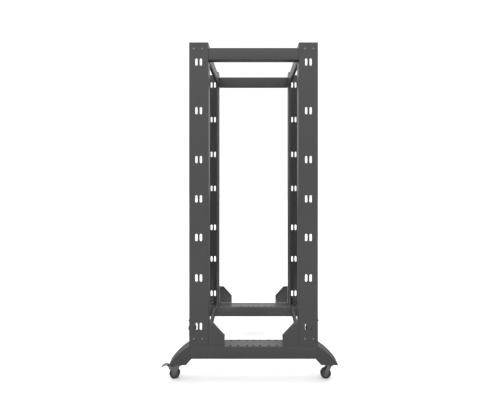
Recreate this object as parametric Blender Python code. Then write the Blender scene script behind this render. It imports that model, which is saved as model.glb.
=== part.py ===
"""Open four-post equipment rack on four swivel casters, two of them, on one diagonal, with brake pedals.

Metres, +Z up. The front is -X and the right-hand side, as seen from the front, is -Y. The floor is Z = 0 and
the origin is the middle of the overall box at the floor. Corner pieces are drawn once, in the corner where X
and Y are positive and measured from the rack's own centre, and mirrored into the other three.
"""

import math

import bmesh
import bpy
from mathutils import Matrix

# General
GAP = 0.0003  # left between two pieces that touch
SHEET = 0.002  # folded steel sheet
TURN_CLEARANCE = 0.0003  # round a shaft that turns in its bore

# Rack space
RACK_UNIT = 0.04445
UNITS = 32
UNIT_HOLES = (0.00635, 0.022225, 0.0381)  # up from the bottom of each unit
UNIT_HOLE_SIZE = 0.0095
UNIT_HOLE_EDGE = 0.0075  # from the opening to the hole line
OPENING = 0.450  # clear width between the posts

# Posts: a lipped channel, open towards the middle of the rack
FRAME_DEPTH = 0.605  # over the drilled flanges
POST_WEB = 0.090
POST_DEPTH = 0.075
POST_LIP = 0.012
POST_MARGIN = 0.0019  # post beyond the first and the last unit
SLOT_WIDTH = 0.011
SLOT_HEIGHT = 0.034
SLOT_PITCH = 0.021
SLOT_ARC_STEPS = 3
RIGHT_SLOTS = (0.0658, 0.2250, 0.3582, 0.4855, 0.6145, 0.7754, 0.9353)  # shares of the post's length
LEFT_SLOTS = (0.0412, 0.1923, 0.3308, 0.5019, 0.6513, 0.8041, 0.9563)
LEFT_SLOT_SHIFT = 0.005  # of the left-hand slots, from the middle of the web towards the rack's middle

# Base: two beams with a foot at each end, two cross members and four gussets
BEAM_HEIGHT = 0.058
BEAM_HOLE_RADIUS = 0.0055
BEAM_HOLE_EDGE = 0.009
BEAM_HOLES = (0.030, 0.073, 0.110)  # each side of the one in the middle
FOOT_DROP = 0.030  # beam's underside above the foot's
FOOT_REACH = 0.0952
FOOT_FLAT_START = 0.015  # from the beam's end to the flat underside
FOOT_TUCK = 0.0115  # the foot's slope reaches this far under the beam
FOOT_BULGE = 0.007  # rise of the curved top over a straight line
FOOT_ARC_STEPS = 6
GUSSET_HEIGHT = 0.1042
GUSSET_LENGTH = 0.0762
GUSSET_TOP = 0.0245
GUSSET_END = 0.0472
GUSSET_FLANGE = 0.018
BASE_CROSS_HEIGHT = 0.040
BASE_CROSS_LIP = 0.013
BASE_CROSS_INSET = 0.0745  # from the drilled flanges to the web
END_PLATE = 0.034

# Top: two side beams and two cross members
TOP_DROP = 0.0255  # post tops above the beams
TOP_BEAM_HEIGHT = 0.056
TOP_BEAM_DEPTH = 0.045
TOP_CROSS_FLANGE = 0.014
TOP_CROSS_TAB = 0.001  # left free at the outer end of the tab

# Brackets inside the posts
BRACKET_LEG = 0.036
BRACKET_HEIGHT = 0.028
BASE_BRACKET_HEIGHT = 0.041

# Bolt holes
BOLT_HOLE = 0.0033
BOLT_SIDES = 6
WEB_BOLTS = (0.022, 0.0615)  # from the drilled flange
WEB_BOLT_TOP = 0.0305  # below the post's top
WEB_BOLT_BASE = 0.0353  # above the post's foot
CORNER_BOLT_INSET = 0.030  # from the web's outer face
CORNER_BOLT_LOW = 0.010  # above the top beam's underside
CORNER_BOLT_HIGH = 0.008  # below the top beam's top
CROSS_BOLT_RISE = 0.011  # each end plate's bolts from its lower and upper edges

# Casters
FORK_RISE = 0.0287  # from the top of the wheel to the top of the plate
STEM_INSET = 0.037  # from the foot's tip
WHEEL_RADIUS = 0.025
WHEEL_TRAIL = 0.016
TYRE_WIDTH = 0.020
HUB_RADIUS = 0.017
HUB_BOSS = 0.0075
WHEEL_SIDES = 16
PLATE_SIZE = 0.060
PLATE_THICK = 0.003
PLATE_HOLE_PITCH = 0.044
CAP_HEIGHT = 0.012
CAP_RADIUS = 0.021
CAP_TOP_RADIUS = 0.017
CHEEK = 0.0025
CHEEK_GAP = 0.023
CHEEK_ROUND = 0.008
CHEEK_FRONT = 0.008  # the cheek's edges under the cap, from the stem
CHEEK_BACK = 0.011
AXLE_RADIUS = 0.004
AXLE_NUT = 0.0075
AXLE_NUT_HEIGHT = 0.004
KINGPIN_RADIUS = 0.005
KINGPIN_HEAD = 0.009
KINGPIN_HEAD_HEIGHT = 0.003
SHAFT_SIDES = 12
BRAKED = ("front_right", "rear_left")
PEDAL_PIVOT_PLACE = (-0.038, -0.0267)  # from the stem, and from the top of the plate
PEDAL_PIN = 0.0025
PEDAL_HUB = 0.0045
PEDAL_THICK = 0.003
PEDAL_BEND_PLACE = (-0.053, -0.0102)
PEDAL_TIP_PLACE = (-0.0787, -0.0217)
PEDAL_STEPS = 6

# Worked out from the sizes above
HALF_DEPTH = FRAME_DEPTH / 2
HALF_OPENING = OPENING / 2
HALF_WIDTH = HALF_OPENING + POST_DEPTH
CASTER_HEIGHT = 2 * WHEEL_RADIUS + FORK_RISE
FOOT_BOTTOM = CASTER_HEIGHT + GAP
BEAM_BOTTOM = FOOT_BOTTOM + FOOT_DROP
BEAM_TOP = BEAM_BOTTOM + BEAM_HEIGHT
POST_BOTTOM = BEAM_TOP + GAP
POST_LENGTH = UNITS * RACK_UNIT + 2 * POST_MARGIN
POST_TOP = POST_BOTTOM + POST_LENGTH
POST_INNER = HALF_DEPTH - POST_WEB
TOP_HIGH = POST_TOP - TOP_DROP
TOP_LOW = TOP_HIGH - TOP_BEAM_HEIGHT
TAB_OUTER = POST_INNER - GAP
TAB_INNER = TAB_OUTER - SHEET
TOP_BEAM_END = TAB_INNER - GAP
BASE_CROSS_X = HALF_DEPTH - BASE_CROSS_INSET
BASE_CROSS_LOW = BEAM_TOP - BASE_CROSS_HEIGHT
BASE_CROSS_BOLT_X = BASE_CROSS_X + (BASE_CROSS_LIP + END_PLATE) / 2
FOOT_START = HALF_DEPTH + GAP
FOOT_TIP = FOOT_START + FOOT_REACH
CORNER_BOLT_Y = HALF_WIDTH - CORNER_BOLT_INSET
STEM_X = FOOT_TIP - STEM_INSET
STEM_Y = HALF_OPENING + POST_DEPTH / 2
PLATE_LOW = CASTER_HEIGHT - PLATE_THICK
CAP_TOP = PLATE_LOW - GAP
CAP_LOW = CAP_TOP - CAP_HEIGHT
PEDAL_PIVOT, PEDAL_BEND, PEDAL_TIP = (
    (x, CASTER_HEIGHT + z) for x, z in (PEDAL_PIVOT_PLACE, PEDAL_BEND_PLACE, PEDAL_TIP_PLACE)
)
PEDAL_REACH = STEM_X - PEDAL_TIP[0]
RACK_X = (PEDAL_REACH - FOOT_TIP) / 2  # the rack's centre from the middle of the overall box

ENDS = (("front", -1), ("rear", 1))
SIDES = (("right", -1), ("left", 1))
CORNERS = [(f"{end}_{side}", sx, sy) for end, sx in ENDS for side, sy in SIDES]


def clear_scene():
    for obj in list(bpy.data.objects):
        bpy.data.objects.remove(obj, do_unlink=True)
    for mesh in list(bpy.data.meshes):
        bpy.data.meshes.remove(mesh)


def make_material(name, colour, metallic, roughness):
    material = bpy.data.materials.new(name)
    material.use_nodes = True
    shader = material.node_tree.nodes["Principled BSDF"]
    shader.inputs["Base Color"].default_value = (*colour, 1.0)
    shader.inputs["Metallic"].default_value = metallic
    shader.inputs["Roughness"].default_value = roughness
    return material


def add_prism(bm, outline, axis, low, high):
    """An outline drawn in the plane across the axis ("x": YZ, "y": XZ, "z": XY), extruded from low to high."""

    def point(a, b, along):
        return {"x": (along, a, b), "y": (a, along, b), "z": (a, b, along)}[axis]

    lower = [bm.verts.new(point(a, b, low)) for a, b in outline]
    upper = [bm.verts.new(point(a, b, high)) for a, b in outline]
    faces = [bm.faces.new(lower), bm.faces.new(upper)]
    for i in range(len(outline)):
        j = (i + 1) % len(outline)
        faces.append(bm.faces.new((lower[i], lower[j], upper[j], upper[i])))
    bmesh.ops.recalc_face_normals(bm, faces=faces)


def add_box(bm, x, y, z):
    """A box from three (low, high) pairs."""
    add_prism(bm, [(x[0], y[0]), (x[1], y[0]), (x[1], y[1]), (x[0], y[1])], "z", *z)


def circle(centre, radius, sides):
    turn = 2 * math.pi / sides
    return [
        (centre[0] + radius * math.cos((i + 0.5) * turn), centre[1] + radius * math.sin((i + 0.5) * turn))
        for i in range(sides)
    ]


def add_rod(bm, centre, axis, radius, low, high, sides):
    add_prism(bm, circle(centre, radius, sides), axis, low, high)


def bore_radius(shaft_radius):
    """Corner radius of a bore whose flats still clear a shaft that turns in it."""
    return (shaft_radius + TURN_CLEARANCE) / math.cos(math.pi / SHAFT_SIDES)


def add_turned(bm, profile, axis, sides):
    """A ring or disc from a closed (radius, along) profile turned about the axis through the origin."""
    turn = 2 * math.pi / sides
    rings = []
    for i in range(sides):
        c, s = math.cos((i + 0.5) * turn), math.sin((i + 0.5) * turn)
        place = {"y": lambda r, a: (r * c, a, r * s), "z": lambda r, a: (r * c, r * s, a)}[axis]
        rings.append([bm.verts.new(place(r, a)) for r, a in profile])
    faces = []
    for i in range(sides):
        here, there = rings[i], rings[(i + 1) % sides]
        for j in range(len(profile)):
            k = (j + 1) % len(profile)
            faces.append(bm.faces.new((here[j], here[k], there[k], there[j])))
    bmesh.ops.recalc_face_normals(bm, faces=faces)


def inset(outline, distance):
    """The outline moved inwards by a distance all round; it runs anticlockwise."""
    moved = []
    for i, (x, y) in enumerate(outline):
        before, after = outline[i - 1], outline[(i + 1) % len(outline)]
        ux, uy = x - before[0], y - before[1]
        vx, vy = after[0] - x, after[1] - y
        u, v = math.hypot(ux, uy), math.hypot(vx, vy)
        ux, uy, vx, vy = ux / u, uy / u, vx / v, vy / v
        reach = distance / (1 + ux * vx + uy * vy)
        moved.append((x - (uy + vy) * reach, y + (ux + vx) * reach))
    return moved


def mirrored(bm, sx, sy):
    """The bmesh mirrored into the corner with these signs."""
    if (sx, sy) != (1, 1):
        bmesh.ops.transform(bm, matrix=Matrix.Diagonal((sx, sy, 1, 1)), verts=bm.verts)
    if sx * sy < 0:
        bmesh.ops.reverse_faces(bm, faces=bm.faces)
    return bm


def make_object(name, bm, material, parent, location=(0, 0, 0)):
    mesh = bpy.data.meshes.new(name)
    bm.to_mesh(mesh)
    bm.free()
    obj = bpy.data.objects.new(name, mesh)
    bpy.context.collection.objects.link(obj)
    obj.parent = parent
    obj.location = location
    if material:
        mesh.materials.append(material)
    return obj


def smooth(obj):
    """Round surfaces shade smooth and edges sharper than 40 degrees stay crisp."""
    obj.data.shade_smooth()
    obj.data.set_sharp_from_angle(angle=math.radians(40))


def change(obj, bm, operation):
    """Cuts the bmesh out of the object, or joins it on, with a hidden helper and a Boolean."""
    helper = make_object(f"{obj.name}_{operation.lower()}", bm, None, obj.parent, obj.location)
    helper.hide_render = True
    helper.display_type = "WIRE"
    modifier = obj.modifiers.new(operation.title(), "BOOLEAN")
    modifier.operation = operation
    modifier.solver = "EXACT"
    modifier.object = helper


def make_empty(name, parent, location):
    empty = bpy.data.objects.new(name, None)
    bpy.context.collection.objects.link(empty)
    empty.parent = parent
    empty.location = location
    return empty


# Posts


def post_outline():
    """The lipped channel seen from above."""
    outer, web = HALF_DEPTH, HALF_WIDTH
    inner, edge = POST_INNER, HALF_OPENING
    lip_outer, lip_inner = outer - POST_LIP, inner + POST_LIP
    return [
        (outer, edge),
        (outer, web),
        (inner, web),
        (inner, edge),
        (lip_inner, edge),
        (lip_inner, edge + SHEET),
        (inner + SHEET, edge + SHEET),
        (inner + SHEET, web - SHEET),
        (outer - SHEET, web - SHEET),
        (outer - SHEET, edge + SHEET),
        (lip_outer, edge + SHEET),
        (lip_outer, edge),
    ]


def slot_outline(x, z):
    """A slot with round ends, upright, centred on x, z."""
    radius = SLOT_WIDTH / 2
    rise = SLOT_HEIGHT / 2 - radius
    angles = [math.pi * i / SLOT_ARC_STEPS for i in range(SLOT_ARC_STEPS + 1)]
    top = [(x + radius * math.cos(a), z + rise + radius * math.sin(a)) for a in angles]
    return top + [(2 * x - a, 2 * z - b) for a, b in top]


def unit_hole_heights():
    start = POST_BOTTOM + POST_MARGIN
    return [start + unit * RACK_UNIT + hole for unit in range(UNITS) for hole in UNIT_HOLES]


def web_bolt_places():
    """(x, z) of the bolts through a post's web."""
    heights = (POST_BOTTOM + WEB_BOLT_BASE, POST_TOP - WEB_BOLT_TOP)
    return [(HALF_DEPTH - inset_x, z) for z in heights for inset_x in WEB_BOLTS]


def corner_bolt_heights():
    return [TOP_LOW + CORNER_BOLT_LOW, TOP_HIGH - CORNER_BOLT_HIGH]


def post_cuts(slots, shift):
    bm = bmesh.new()
    reach = 2 * SHEET
    hole_y, half = HALF_OPENING + UNIT_HOLE_EDGE, UNIT_HOLE_SIZE / 2
    for z in unit_hole_heights():
        across = (HALF_DEPTH - reach, HALF_DEPTH + reach)
        add_box(bm, across, (hole_y - half, hole_y + half), (z - half, z + half))
    middle = HALF_DEPTH - POST_WEB / 2 - shift
    for share in slots:
        for side in (-0.5, 0.5):
            outline = slot_outline(middle + side * SLOT_PITCH, POST_BOTTOM + share * POST_LENGTH)
            add_prism(bm, outline, "y", HALF_WIDTH - reach, HALF_WIDTH + reach)
    for place in web_bolt_places():
        add_rod(bm, place, "y", BOLT_HOLE, HALF_WIDTH - reach, HALF_WIDTH + reach, BOLT_SIDES)
    for z in corner_bolt_heights():
        low, high = POST_INNER - reach, POST_INNER + reach
        add_rod(bm, (CORNER_BOLT_Y, z), "x", BOLT_HOLE, low, high, BOLT_SIDES)
    return bm


def make_posts(rack, steel):
    for corner, sx, sy in CORNERS:
        bm = bmesh.new()
        add_prism(bm, post_outline(), "z", POST_BOTTOM, POST_TOP)
        post = make_object(f"post_{corner}", mirrored(bm, sx, sy), steel, rack)
        cuts = post_cuts(RIGHT_SLOTS, 0) if sy < 0 else post_cuts(LEFT_SLOTS, LEFT_SLOT_SHIFT)
        change(post, mirrored(cuts, sx, sy), "DIFFERENCE")


# Base


def base_cross_bolt_heights():
    return (BASE_CROSS_LOW + CROSS_BOLT_RISE, BEAM_TOP - CROSS_BOLT_RISE)


def base_beam_hollow():
    """The inside of a base beam, open below."""
    bm = bmesh.new()
    inside = HALF_DEPTH - SHEET
    across = (HALF_OPENING + SHEET, HALF_WIDTH - SHEET)
    add_box(bm, (-inside, inside), across, (BEAM_BOTTOM - SHEET, BEAM_TOP - SHEET))
    return bm


def base_beam_holes():
    """Drilled along the top, and through the inner side for the cross members."""
    bm = bmesh.new()
    places = [0] + [sign * x for x in BEAM_HOLES for sign in (-1, 1)]
    for x in places:
        for y in (HALF_OPENING + BEAM_HOLE_EDGE, HALF_WIDTH - BEAM_HOLE_EDGE):
            add_rod(bm, (x, y), "z", BEAM_HOLE_RADIUS, BEAM_TOP - 1.5 * SHEET, BEAM_TOP + SHEET, BOLT_SIDES)
    for sign in (-1, 1):
        for z in base_cross_bolt_heights():
            low, high = HALF_OPENING - SHEET, HALF_OPENING + 1.5 * SHEET
            add_rod(bm, (sign * BASE_CROSS_BOLT_X, z), "y", BOLT_HOLE, low, high, BOLT_SIDES)
    return bm


def make_base_beams(rack, steel):
    for side, sy in SIDES:
        bm = bmesh.new()
        add_box(bm, (-HALF_DEPTH, HALF_DEPTH), (HALF_OPENING, HALF_WIDTH), (BEAM_BOTTOM, BEAM_TOP))
        beam = make_object(f"base_beam_{side}", mirrored(bm, 1, sy), steel, rack)
        change(beam, mirrored(base_beam_hollow(), 1, sy), "DIFFERENCE")
        change(beam, mirrored(base_beam_holes(), 1, sy), "DIFFERENCE")


def foot_outline():
    """Seen from the side: a level underside, a slope up to the beam and a curved top down to the tip."""
    top, tip = (FOOT_START, BEAM_TOP), (FOOT_TIP, FOOT_BOTTOM)
    run, drop = tip[0] - top[0], top[1] - tip[1]
    chord = math.hypot(run, drop)
    outline = [
        (HALF_DEPTH - FOOT_TUCK, BEAM_BOTTOM - GAP),
        (HALF_DEPTH + FOOT_FLAT_START, FOOT_BOTTOM),
    ]
    radius = chord * chord / (8 * FOOT_BULGE) + FOOT_BULGE / 2
    half_angle = math.asin(chord / 2 / radius)
    for i in range(FOOT_ARC_STEPS + 1):
        angle = half_angle * (1 - 2 * i / FOOT_ARC_STEPS)
        along = 0.5 + radius * math.sin(angle) / chord
        bulge = radius * (math.cos(angle) - math.cos(half_angle))
        x = top[0] + run * along + bulge * drop / chord
        outline.append((x, top[1] - drop * along + bulge * run / chord))
    return outline + [(FOOT_START, BEAM_BOTTOM - GAP)]


def plate_screw_places():
    half = PLATE_HOLE_PITCH / 2
    return [(STEM_X + i * half, STEM_Y + j * half) for i in (-1, 1) for j in (-1, 1)]


def make_feet(rack, steel):
    """Folded hollow feet, each with the four screw holes of its caster."""
    for corner, sx, sy in CORNERS:
        bm = bmesh.new()
        add_prism(bm, foot_outline(), "y", HALF_OPENING, HALF_WIDTH)
        foot = make_object(f"foot_{corner}", mirrored(bm, sx, sy), steel, rack)
        hollow, holes = bmesh.new(), bmesh.new()
        add_prism(hollow, inset(foot_outline(), SHEET), "y", HALF_OPENING + SHEET, HALF_WIDTH - SHEET)
        change(foot, mirrored(hollow, sx, sy), "DIFFERENCE")
        for place in plate_screw_places():
            low, high = FOOT_BOTTOM - SHEET, FOOT_BOTTOM + 1.5 * SHEET
            add_rod(holes, place, "z", BOLT_HOLE, low, high, BOLT_SIDES)
        change(foot, mirrored(holes, sx, sy), "DIFFERENCE")


def gusset_outline(edge):
    """The side plate, or with an edge the region inside the folded flange of that thickness."""
    post, low = TAB_OUTER, POST_BOTTOM
    high, tip = low + GUSSET_HEIGHT, post - GUSSET_LENGTH
    corner, end = (post - GUSSET_TOP, high), (tip, low + GUSSET_END)
    slope = math.hypot(corner[0] - end[0], corner[1] - end[1])
    nx, nz = (corner[1] - end[1]) / slope * edge, (corner[0] - end[0]) / slope * edge
    turn = edge * math.tan(0.5 * math.atan2(corner[1] - end[1], corner[0] - end[0]))
    if not edge:
        return [(post, low), (post, high), corner, end, (tip, low)]
    return [(post + edge, low - edge), (post + edge, high - edge), (corner[0] + turn, high - edge)] + [
        (end[0] + nx - edge * (corner[0] - end[0]) / slope, end[1] - nz - edge * (corner[1] - end[1]) / slope),
        (tip - edge, low - edge),
    ]


def make_gussets(rack, steel):
    """Corner plates between post and base beam, folded inwards along the top and the slope."""
    for corner, sx, sy in CORNERS:
        bm = bmesh.new()
        add_prism(bm, gusset_outline(0), "y", HALF_WIDTH - GUSSET_FLANGE, HALF_WIDTH)
        gusset = make_object(f"gusset_{corner}", mirrored(bm, sx, sy), steel, rack)
        cuts = bmesh.new()
        add_prism(cuts, gusset_outline(SHEET), "y", HALF_WIDTH - 2 * GUSSET_FLANGE, HALF_WIDTH - SHEET)
        change(gusset, mirrored(cuts, sx, sy), "DIFFERENCE")


def make_base_cross_members(rack, steel):
    """Shallow channels between the base beams, with an end plate bolted to each."""
    end = HALF_OPENING - GAP
    inside = end - SHEET
    far = BASE_CROSS_X + END_PLATE
    for name, sx in ENDS:
        bm = bmesh.new()
        add_box(bm, (BASE_CROSS_X, far), (-end, end), (BASE_CROSS_LOW, BEAM_TOP))
        member = make_object(f"base_cross_member_{name}", mirrored(bm, sx, 1), steel, rack)
        cuts = bmesh.new()
        lip = BASE_CROSS_X + BASE_CROSS_LIP
        past = (lip, far + SHEET)
        add_box(cuts, past, (-inside, inside), (BASE_CROSS_LOW - SHEET, BEAM_TOP + SHEET))
        change(member, mirrored(cuts, sx, 1), "DIFFERENCE")
        hollow = bmesh.new()
        add_box(
            hollow,
            (BASE_CROSS_X + SHEET, lip + SHEET),
            (-inside, inside),
            (BASE_CROSS_LOW + SHEET, BEAM_TOP - SHEET),
        )
        for sign in (-1, 1):
            for z in base_cross_bolt_heights():
                low, high = sorted((sign * (inside - SHEET), sign * (end + SHEET)))
                add_rod(hollow, (BASE_CROSS_BOLT_X, z), "y", BOLT_HOLE, low, high, BOLT_SIDES)
        change(member, mirrored(hollow, sx, 1), "DIFFERENCE")


# Top


def make_top_beams(rack, steel):
    """Box beams between the posts, hollow, with closed ends drilled for the corner bolts."""
    inner = HALF_WIDTH - TOP_BEAM_DEPTH
    for side, sy in SIDES:
        bm = bmesh.new()
        add_box(bm, (-TOP_BEAM_END, TOP_BEAM_END), (inner, HALF_WIDTH), (TOP_LOW, TOP_HIGH))
        beam = make_object(f"top_beam_{side}", mirrored(bm, 1, sy), steel, rack)
        hollow, holes = bmesh.new(), bmesh.new()
        end = TOP_BEAM_END - SHEET
        across = (inner + SHEET, HALF_WIDTH - SHEET)
        add_box(hollow, (-end, end), across, (TOP_LOW + SHEET, TOP_HIGH - SHEET))
        change(beam, mirrored(hollow, 1, sy), "DIFFERENCE")
        for sign in (-1, 1):
            for z in corner_bolt_heights():
                low, high = sorted((sign * (end - SHEET), sign * (TOP_BEAM_END + SHEET)))
                add_rod(holes, (CORNER_BOLT_Y, z), "x", BOLT_HOLE, low, high, BOLT_SIDES)
        change(beam, mirrored(holes, 1, sy), "DIFFERENCE")


def make_top_cross_members(rack, steel):
    """Channels whose webs run on as tabs between the posts and the beam ends."""
    tab_end = HALF_WIDTH - TOP_CROSS_TAB
    end = HALF_OPENING - GAP
    far = TAB_INNER + TOP_CROSS_FLANGE
    for name, sx in ENDS:
        bm = bmesh.new()
        add_box(bm, (TAB_INNER, far), (-end, end), (TOP_LOW, TOP_HIGH))
        member = make_object(f"top_cross_member_{name}", mirrored(bm, sx, 1), steel, rack)
        hollow = bmesh.new()
        add_box(
            hollow,
            (TAB_OUTER, far + SHEET),
            (-tab_end, tab_end),
            (TOP_LOW + SHEET, TOP_HIGH - SHEET),
        )
        change(member, mirrored(hollow, sx, 1), "DIFFERENCE")
        tabs = bmesh.new()
        add_box(tabs, (TAB_INNER, TAB_OUTER), (-tab_end, tab_end), (TOP_LOW, TOP_HIGH))
        change(member, mirrored(tabs, sx, 1), "UNION")
        holes = bmesh.new()
        for sign in (-1, 1):
            for z in corner_bolt_heights():
                place = (sign * CORNER_BOLT_Y, z)
                low, high = TAB_INNER - SHEET, TAB_OUTER + SHEET
                add_rod(holes, place, "x", BOLT_HOLE, low, high, BOLT_SIDES)
        change(member, mirrored(holes, sx, 1), "DIFFERENCE")


# Brackets


def make_top_brackets(rack, steel):
    """Angles inside the post tops: one leg on the web, the other on the inner flange."""
    face, side = HALF_WIDTH - SHEET - GAP, POST_INNER + SHEET + GAP
    high = POST_TOP - WEB_BOLT_TOP + BRACKET_HEIGHT / 2
    low = high - BRACKET_HEIGHT
    long_end = HALF_DEPTH - SHEET - 0.5 * POST_LIP
    outline = [
        (side, face),
        (side, HALF_WIDTH - BRACKET_LEG - SHEET),
        (side + SHEET, HALF_WIDTH - BRACKET_LEG - SHEET),
        (side + SHEET, face - SHEET),
        (long_end, face - SHEET),
        (long_end, face),
    ]
    for corner, sx, sy in CORNERS:
        bm = bmesh.new()
        add_prism(bm, outline, "z", low, high)
        bracket = make_object(f"top_bracket_{corner}", mirrored(bm, sx, sy), steel, rack)
        cuts = bmesh.new()
        for x, z in web_bolt_places():
            if z > TOP_LOW:
                add_rod(cuts, (x, z), "y", BOLT_HOLE, face - 2 * SHEET, face + SHEET, BOLT_SIDES)
        place = (CORNER_BOLT_Y, corner_bolt_heights()[-1])
        add_rod(cuts, place, "x", BOLT_HOLE, side - SHEET, side + 2 * SHEET, BOLT_SIDES)
        change(bracket, mirrored(cuts, sx, sy), "DIFFERENCE")


def make_base_brackets(rack, steel):
    """Angles welded to the beam tops, which the post bottoms slip over and bolt to."""
    face = HALF_WIDTH - SHEET - GAP
    outline = [
        (face, POST_BOTTOM),
        (face, POST_BOTTOM + BASE_BRACKET_HEIGHT),
        (face - SHEET, POST_BOTTOM + BASE_BRACKET_HEIGHT),
        (face - SHEET, POST_BOTTOM + SHEET),
        (HALF_WIDTH - BRACKET_LEG, POST_BOTTOM + SHEET),
        (HALF_WIDTH - BRACKET_LEG, POST_BOTTOM),
    ]
    for corner, sx, sy in CORNERS:
        bm = bmesh.new()
        low, high = POST_INNER + POST_LIP, HALF_DEPTH - SHEET - 0.5 * POST_LIP
        add_prism(bm, outline, "x", low, high)
        bracket = make_object(f"base_bracket_{corner}", mirrored(bm, sx, sy), steel, rack)
        cuts = bmesh.new()
        for x, z in web_bolt_places():
            if z < TOP_LOW:
                add_rod(cuts, (x, z), "y", BOLT_HOLE, face - 2 * SHEET, face + SHEET, BOLT_SIDES)
        change(bracket, mirrored(cuts, sx, sy), "DIFFERENCE")


# Casters


def make_top_plate(name, parent, zinc):
    """The fixed plate, drilled for its screws and for the kingpin."""
    half = PLATE_SIZE / 2
    bm = bmesh.new()
    add_box(bm, (-half, half), (-half, half), (PLATE_LOW, CASTER_HEIGHT))
    plate = make_object(f"caster_plate_{name}", bm, zinc, parent)
    cuts = bmesh.new()
    low, high = PLATE_LOW - SHEET, CASTER_HEIGHT + SHEET
    for x, y in plate_screw_places():
        add_rod(cuts, (x - STEM_X, y - STEM_Y), "z", BOLT_HOLE, low, high, BOLT_SIDES)
    add_rod(cuts, (0, 0), "z", KINGPIN_RADIUS + GAP, low, high, SHAFT_SIDES)
    change(plate, cuts, "DIFFERENCE")


def make_kingpin(name, parent, zinc):
    """The rivet that the fork turns on, flush with the plate's top and headed under the fork."""
    seat = CAP_LOW - GAP
    profile_low = seat - KINGPIN_HEAD_HEIGHT
    bm = bmesh.new()
    add_rod(bm, (0, 0), "z", KINGPIN_HEAD, profile_low, seat, SHAFT_SIDES)
    pin = make_object(f"kingpin_{name}", bm, zinc, parent)
    shank = bmesh.new()
    add_rod(shank, (0, 0), "z", KINGPIN_RADIUS, profile_low + GAP, CASTER_HEIGHT - GAP, SHAFT_SIDES)
    change(pin, shank, "UNION")
    smooth(pin)


def cheek_outline(braked):
    """A fork cheek from the side: a strip from the cap down to its round end, with an arm to a pedal's pin."""
    axle = (-WHEEL_TRAIL, WHEEL_RADIUS)
    under = [
        (axle[0] + CHEEK_ROUND * math.sin(a), axle[1] - CHEEK_ROUND * math.cos(a))
        for a in [math.radians(-70 + 35 * i) for i in range(5)]
    ]
    top = CAP_LOW + 0.5 * CAP_HEIGHT
    outline = under + [(CHEEK_FRONT, CAP_LOW), (CHEEK_FRONT, top), (-CHEEK_BACK, top)]
    if not braked:
        return outline + [(-CHEEK_BACK, CAP_LOW)]
    px, pz = PEDAL_PIVOT
    arm = [(px + PEDAL_HUB * math.cos(a), pz + PEDAL_HUB * math.sin(a)) for a in map(math.radians, (100, 180, 260))]
    return outline + arm


def make_fork(name, parent, zinc, braked):
    """The swivelling part: a bearing cap bored for the kingpin, and two cheeks bored for the axle."""
    bm = bmesh.new()
    add_turned(
        bm,
        [
            (bore_radius(KINGPIN_RADIUS), CAP_LOW),
            (CAP_RADIUS, CAP_LOW),
            (CAP_RADIUS, CAP_LOW + 0.5 * CAP_HEIGHT),
            (CAP_TOP_RADIUS, CAP_TOP),
            (bore_radius(KINGPIN_RADIUS), CAP_TOP),
        ],
        "z",
        WHEEL_SIDES,
    )
    fork = make_object(f"caster_fork_{name}", bm, zinc, parent)
    cheeks, cuts = bmesh.new(), bmesh.new()
    inner = CHEEK_GAP / 2
    for low, high in ((-inner - CHEEK, -inner), (inner, inner + CHEEK)):
        add_prism(cheeks, cheek_outline(braked), "y", low, high)
        place = (-WHEEL_TRAIL, WHEEL_RADIUS)
        add_rod(cuts, place, "y", AXLE_RADIUS + GAP, low - CHEEK, high + CHEEK, SHAFT_SIDES)
    change(fork, cheeks, "UNION")
    change(fork, cuts, "DIFFERENCE")
    if braked:
        pin = bmesh.new()
        reach = inner + 0.5 * CHEEK
        add_rod(pin, PEDAL_PIVOT, "y", PEDAL_PIN, -reach, reach, SHAFT_SIDES)
        change(fork, pin, "UNION")
    smooth(fork)


def make_wheel(name, parent, plastic, rubber):
    """A hub with bosses that reach the cheeks, and a separate tyre whose flats stand on the floor."""
    bore, boss = bore_radius(AXLE_RADIUS), CHEEK_GAP / 2 - GAP
    half = TYRE_WIDTH / 2
    bm = bmesh.new()
    profile = [(bore, -boss), (HUB_BOSS, -boss), (HUB_BOSS, SHEET - half), (HUB_RADIUS, SHEET - half)]
    profile += [(radius, -along) for radius, along in reversed(profile)]
    add_turned(bm, profile, "y", WHEEL_SIDES)
    smooth(make_object(f"wheel_hub_{name}", bm, plastic, parent))
    bm = bmesh.new()
    tread = WHEEL_RADIUS / math.cos(math.pi / WHEEL_SIDES)
    inner, shoulder = HUB_RADIUS + GAP, tread - 1.5 * SHEET
    tyre = [(inner, -half), (shoulder, -half), (tread, 1.5 * SHEET - half)]
    tyre += [(radius, -along) for radius, along in reversed(tyre)]
    add_turned(bm, tyre, "y", WHEEL_SIDES)
    smooth(make_object(f"tyre_{name}", bm, rubber, parent))


def make_axle(name, parent, zinc):
    """The axle bolt with its hexagon head on one cheek, and its nut on the other."""
    face = CHEEK_GAP / 2 + CHEEK + GAP
    nut_end = face + AXLE_NUT_HEIGHT
    axle = (-WHEEL_TRAIL, 0, WHEEL_RADIUS)
    head, shank, nut, bore = bmesh.new(), bmesh.new(), bmesh.new(), bmesh.new()
    add_rod(head, (0, 0), "y", AXLE_NUT, -nut_end, -face, BOLT_SIDES)
    add_rod(shank, (0, 0), "y", AXLE_RADIUS, -face - 0.5 * AXLE_NUT_HEIGHT, nut_end + SHEET, SHAFT_SIDES)
    add_rod(nut, (0, 0), "y", AXLE_NUT, face, nut_end, BOLT_SIDES)
    add_rod(bore, (0, 0), "y", AXLE_RADIUS + GAP, face - SHEET, nut_end + 2 * SHEET, SHAFT_SIDES)
    change(make_object(f"axle_bolt_{name}", head, zinc, parent, axle), shank, "UNION")
    change(make_object(f"axle_nut_{name}", nut, zinc, parent, axle), bore, "DIFFERENCE")


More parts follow.
